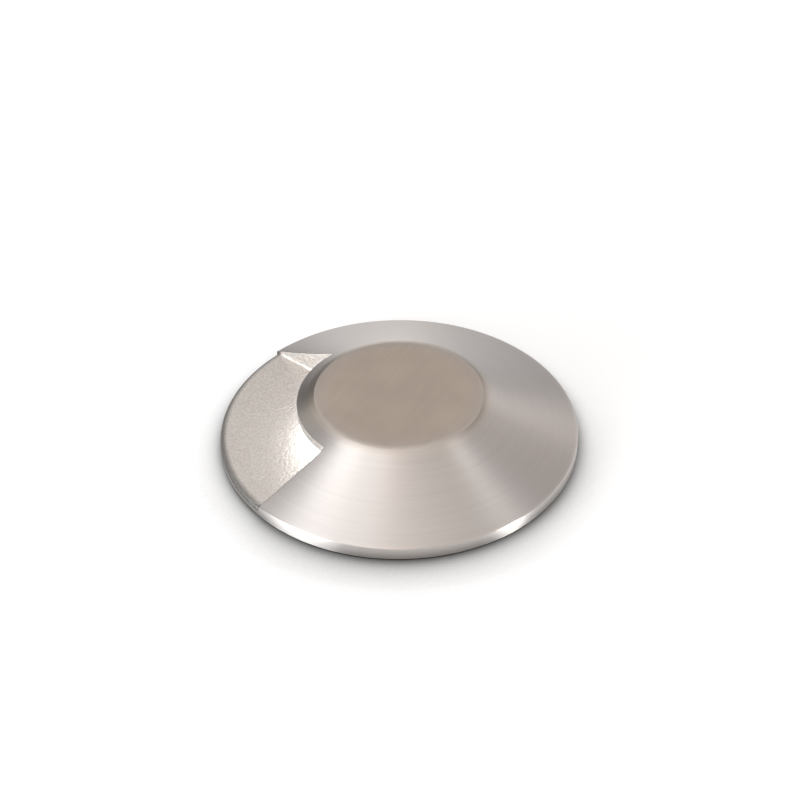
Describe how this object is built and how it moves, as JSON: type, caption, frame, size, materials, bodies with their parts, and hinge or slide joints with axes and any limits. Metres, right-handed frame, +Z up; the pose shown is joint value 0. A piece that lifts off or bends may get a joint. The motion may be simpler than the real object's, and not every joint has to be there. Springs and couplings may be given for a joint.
{
  "type": "in ground well light",
  "caption": "One-way in-ground light: domed steel cover with a side outlet over a sealed round light unit, held by spring clips in a ground sleeve.",
  "frame": {"origin": "on the light's axis at the ground plane, where the cover's underside and the sleeve's mouth lie", "axes": "+Z up out of the ground; -Y the way the outlet throws its light"},
  "size_m": [0.12, 0.12, 0.1394],
  "materials": {
    "turned_steel": "turned and brushed, cast grain in the outlet",
    "spring_steel": "bright rolled strip",
    "screw_steel": "bright",
    "opal_lens": "opal, lit from behind",
    "housing_alloy": "machined and anodised",
    "mirror_alloy": "polished",
    "nickel_brass": "nickel plated",
    "pin_brass": "bright",
    "black_rubber": "matt",
    "grey_silicone": "matt",
    "sleeve_plastic": "moulded, faint draw lines",
    "board_white": "white coated board",
    "chip_yellow": "phosphor over chip",
    "driver_black": "potted case",
    "block_grey": "moulded",
    "bush_nylon": "natural nylon"
  },
  "bodies": {
    "sleeve": {"sleeve_tube": "sleeve_plastic", "sleeve_base": "sleeve_plastic", "cable_grommet": "black_rubber"},
    "insert": {"housing": "housing_alloy", "housing_base": "housing_alloy", "base_screws": "screw_steel", "base_oring": "black_rubber", "lens_cup": "opal_lens", "lens_gasket": "grey_silicone", "clamp_ring": "spring_steel", "clamp_screws": "screw_steel", "cone_mirror": "mirror_alloy", "thermal_pad": "grey_silicone", "led_board": "board_white", "led_chips": "chip_yellow", "board_screws": "screw_steel", "pin_bush": "bush_nylon", "feed_pins": "pin_brass", "driver_case": "driver_black", "driver_screws": "screw_steel", "terminal_block": "block_grey", "terminal_screws": "pin_brass", "gland_body": "nickel_brass", "gland_washer": "black_rubber", "gland_locknut": "nickel_brass", "gland_seal": "black_rubber", "gland_nut": "nickel_brass", "vent_plug": "nickel_brass", "clip_feet": "spring_steel", "clip_screws": "screw_steel"},
    "cover": {"cover": "turned_steel", "rim_gasket": "black_rubber", "grub_screws": "screw_steel"},
    "clip_1": {"clip_leaf_1": "spring_steel"},
    "clip_2": {"clip_leaf_2": "spring_steel"},
    "clip_3": {"clip_leaf_3": "spring_steel"}
  },
  "joints": [
    {"name": "insert_lift", "type": "slide", "parent": "sleeve", "child": "insert", "axis": [0, 0, 1], "range_m": [0, 0.12]},
    {"name": "cover_turn", "type": "hinge", "parent": "insert", "child": "cover", "pos_m": [0, 0, 0], "axis": [0, 0, 1], "continuous": true},
    {"name": "clip_1_flex", "type": "hinge", "parent": "insert", "child": "clip_1", "pos_m": [0.0401, 0, -0.0515], "axis": [0, -1, 0], "range_deg": [0, 5], "stiffness_Nm_per_rad": 2},
    {"name": "clip_2_flex", "type": "hinge", "parent": "insert", "child": "clip_2", "pos_m": [-0.02005, 0.03473, -0.0515], "axis": [0.866, 0.5, 0], "range_deg": [0, 5], "stiffness_Nm_per_rad": 2},
    {"name": "clip_3_flex", "type": "hinge", "parent": "insert", "child": "clip_3", "pos_m": [-0.02005, -0.03473, -0.0515], "axis": [-0.866, 0.5, 0], "range_deg": [0, 5], "stiffness_Nm_per_rad": 2}
  ]
}
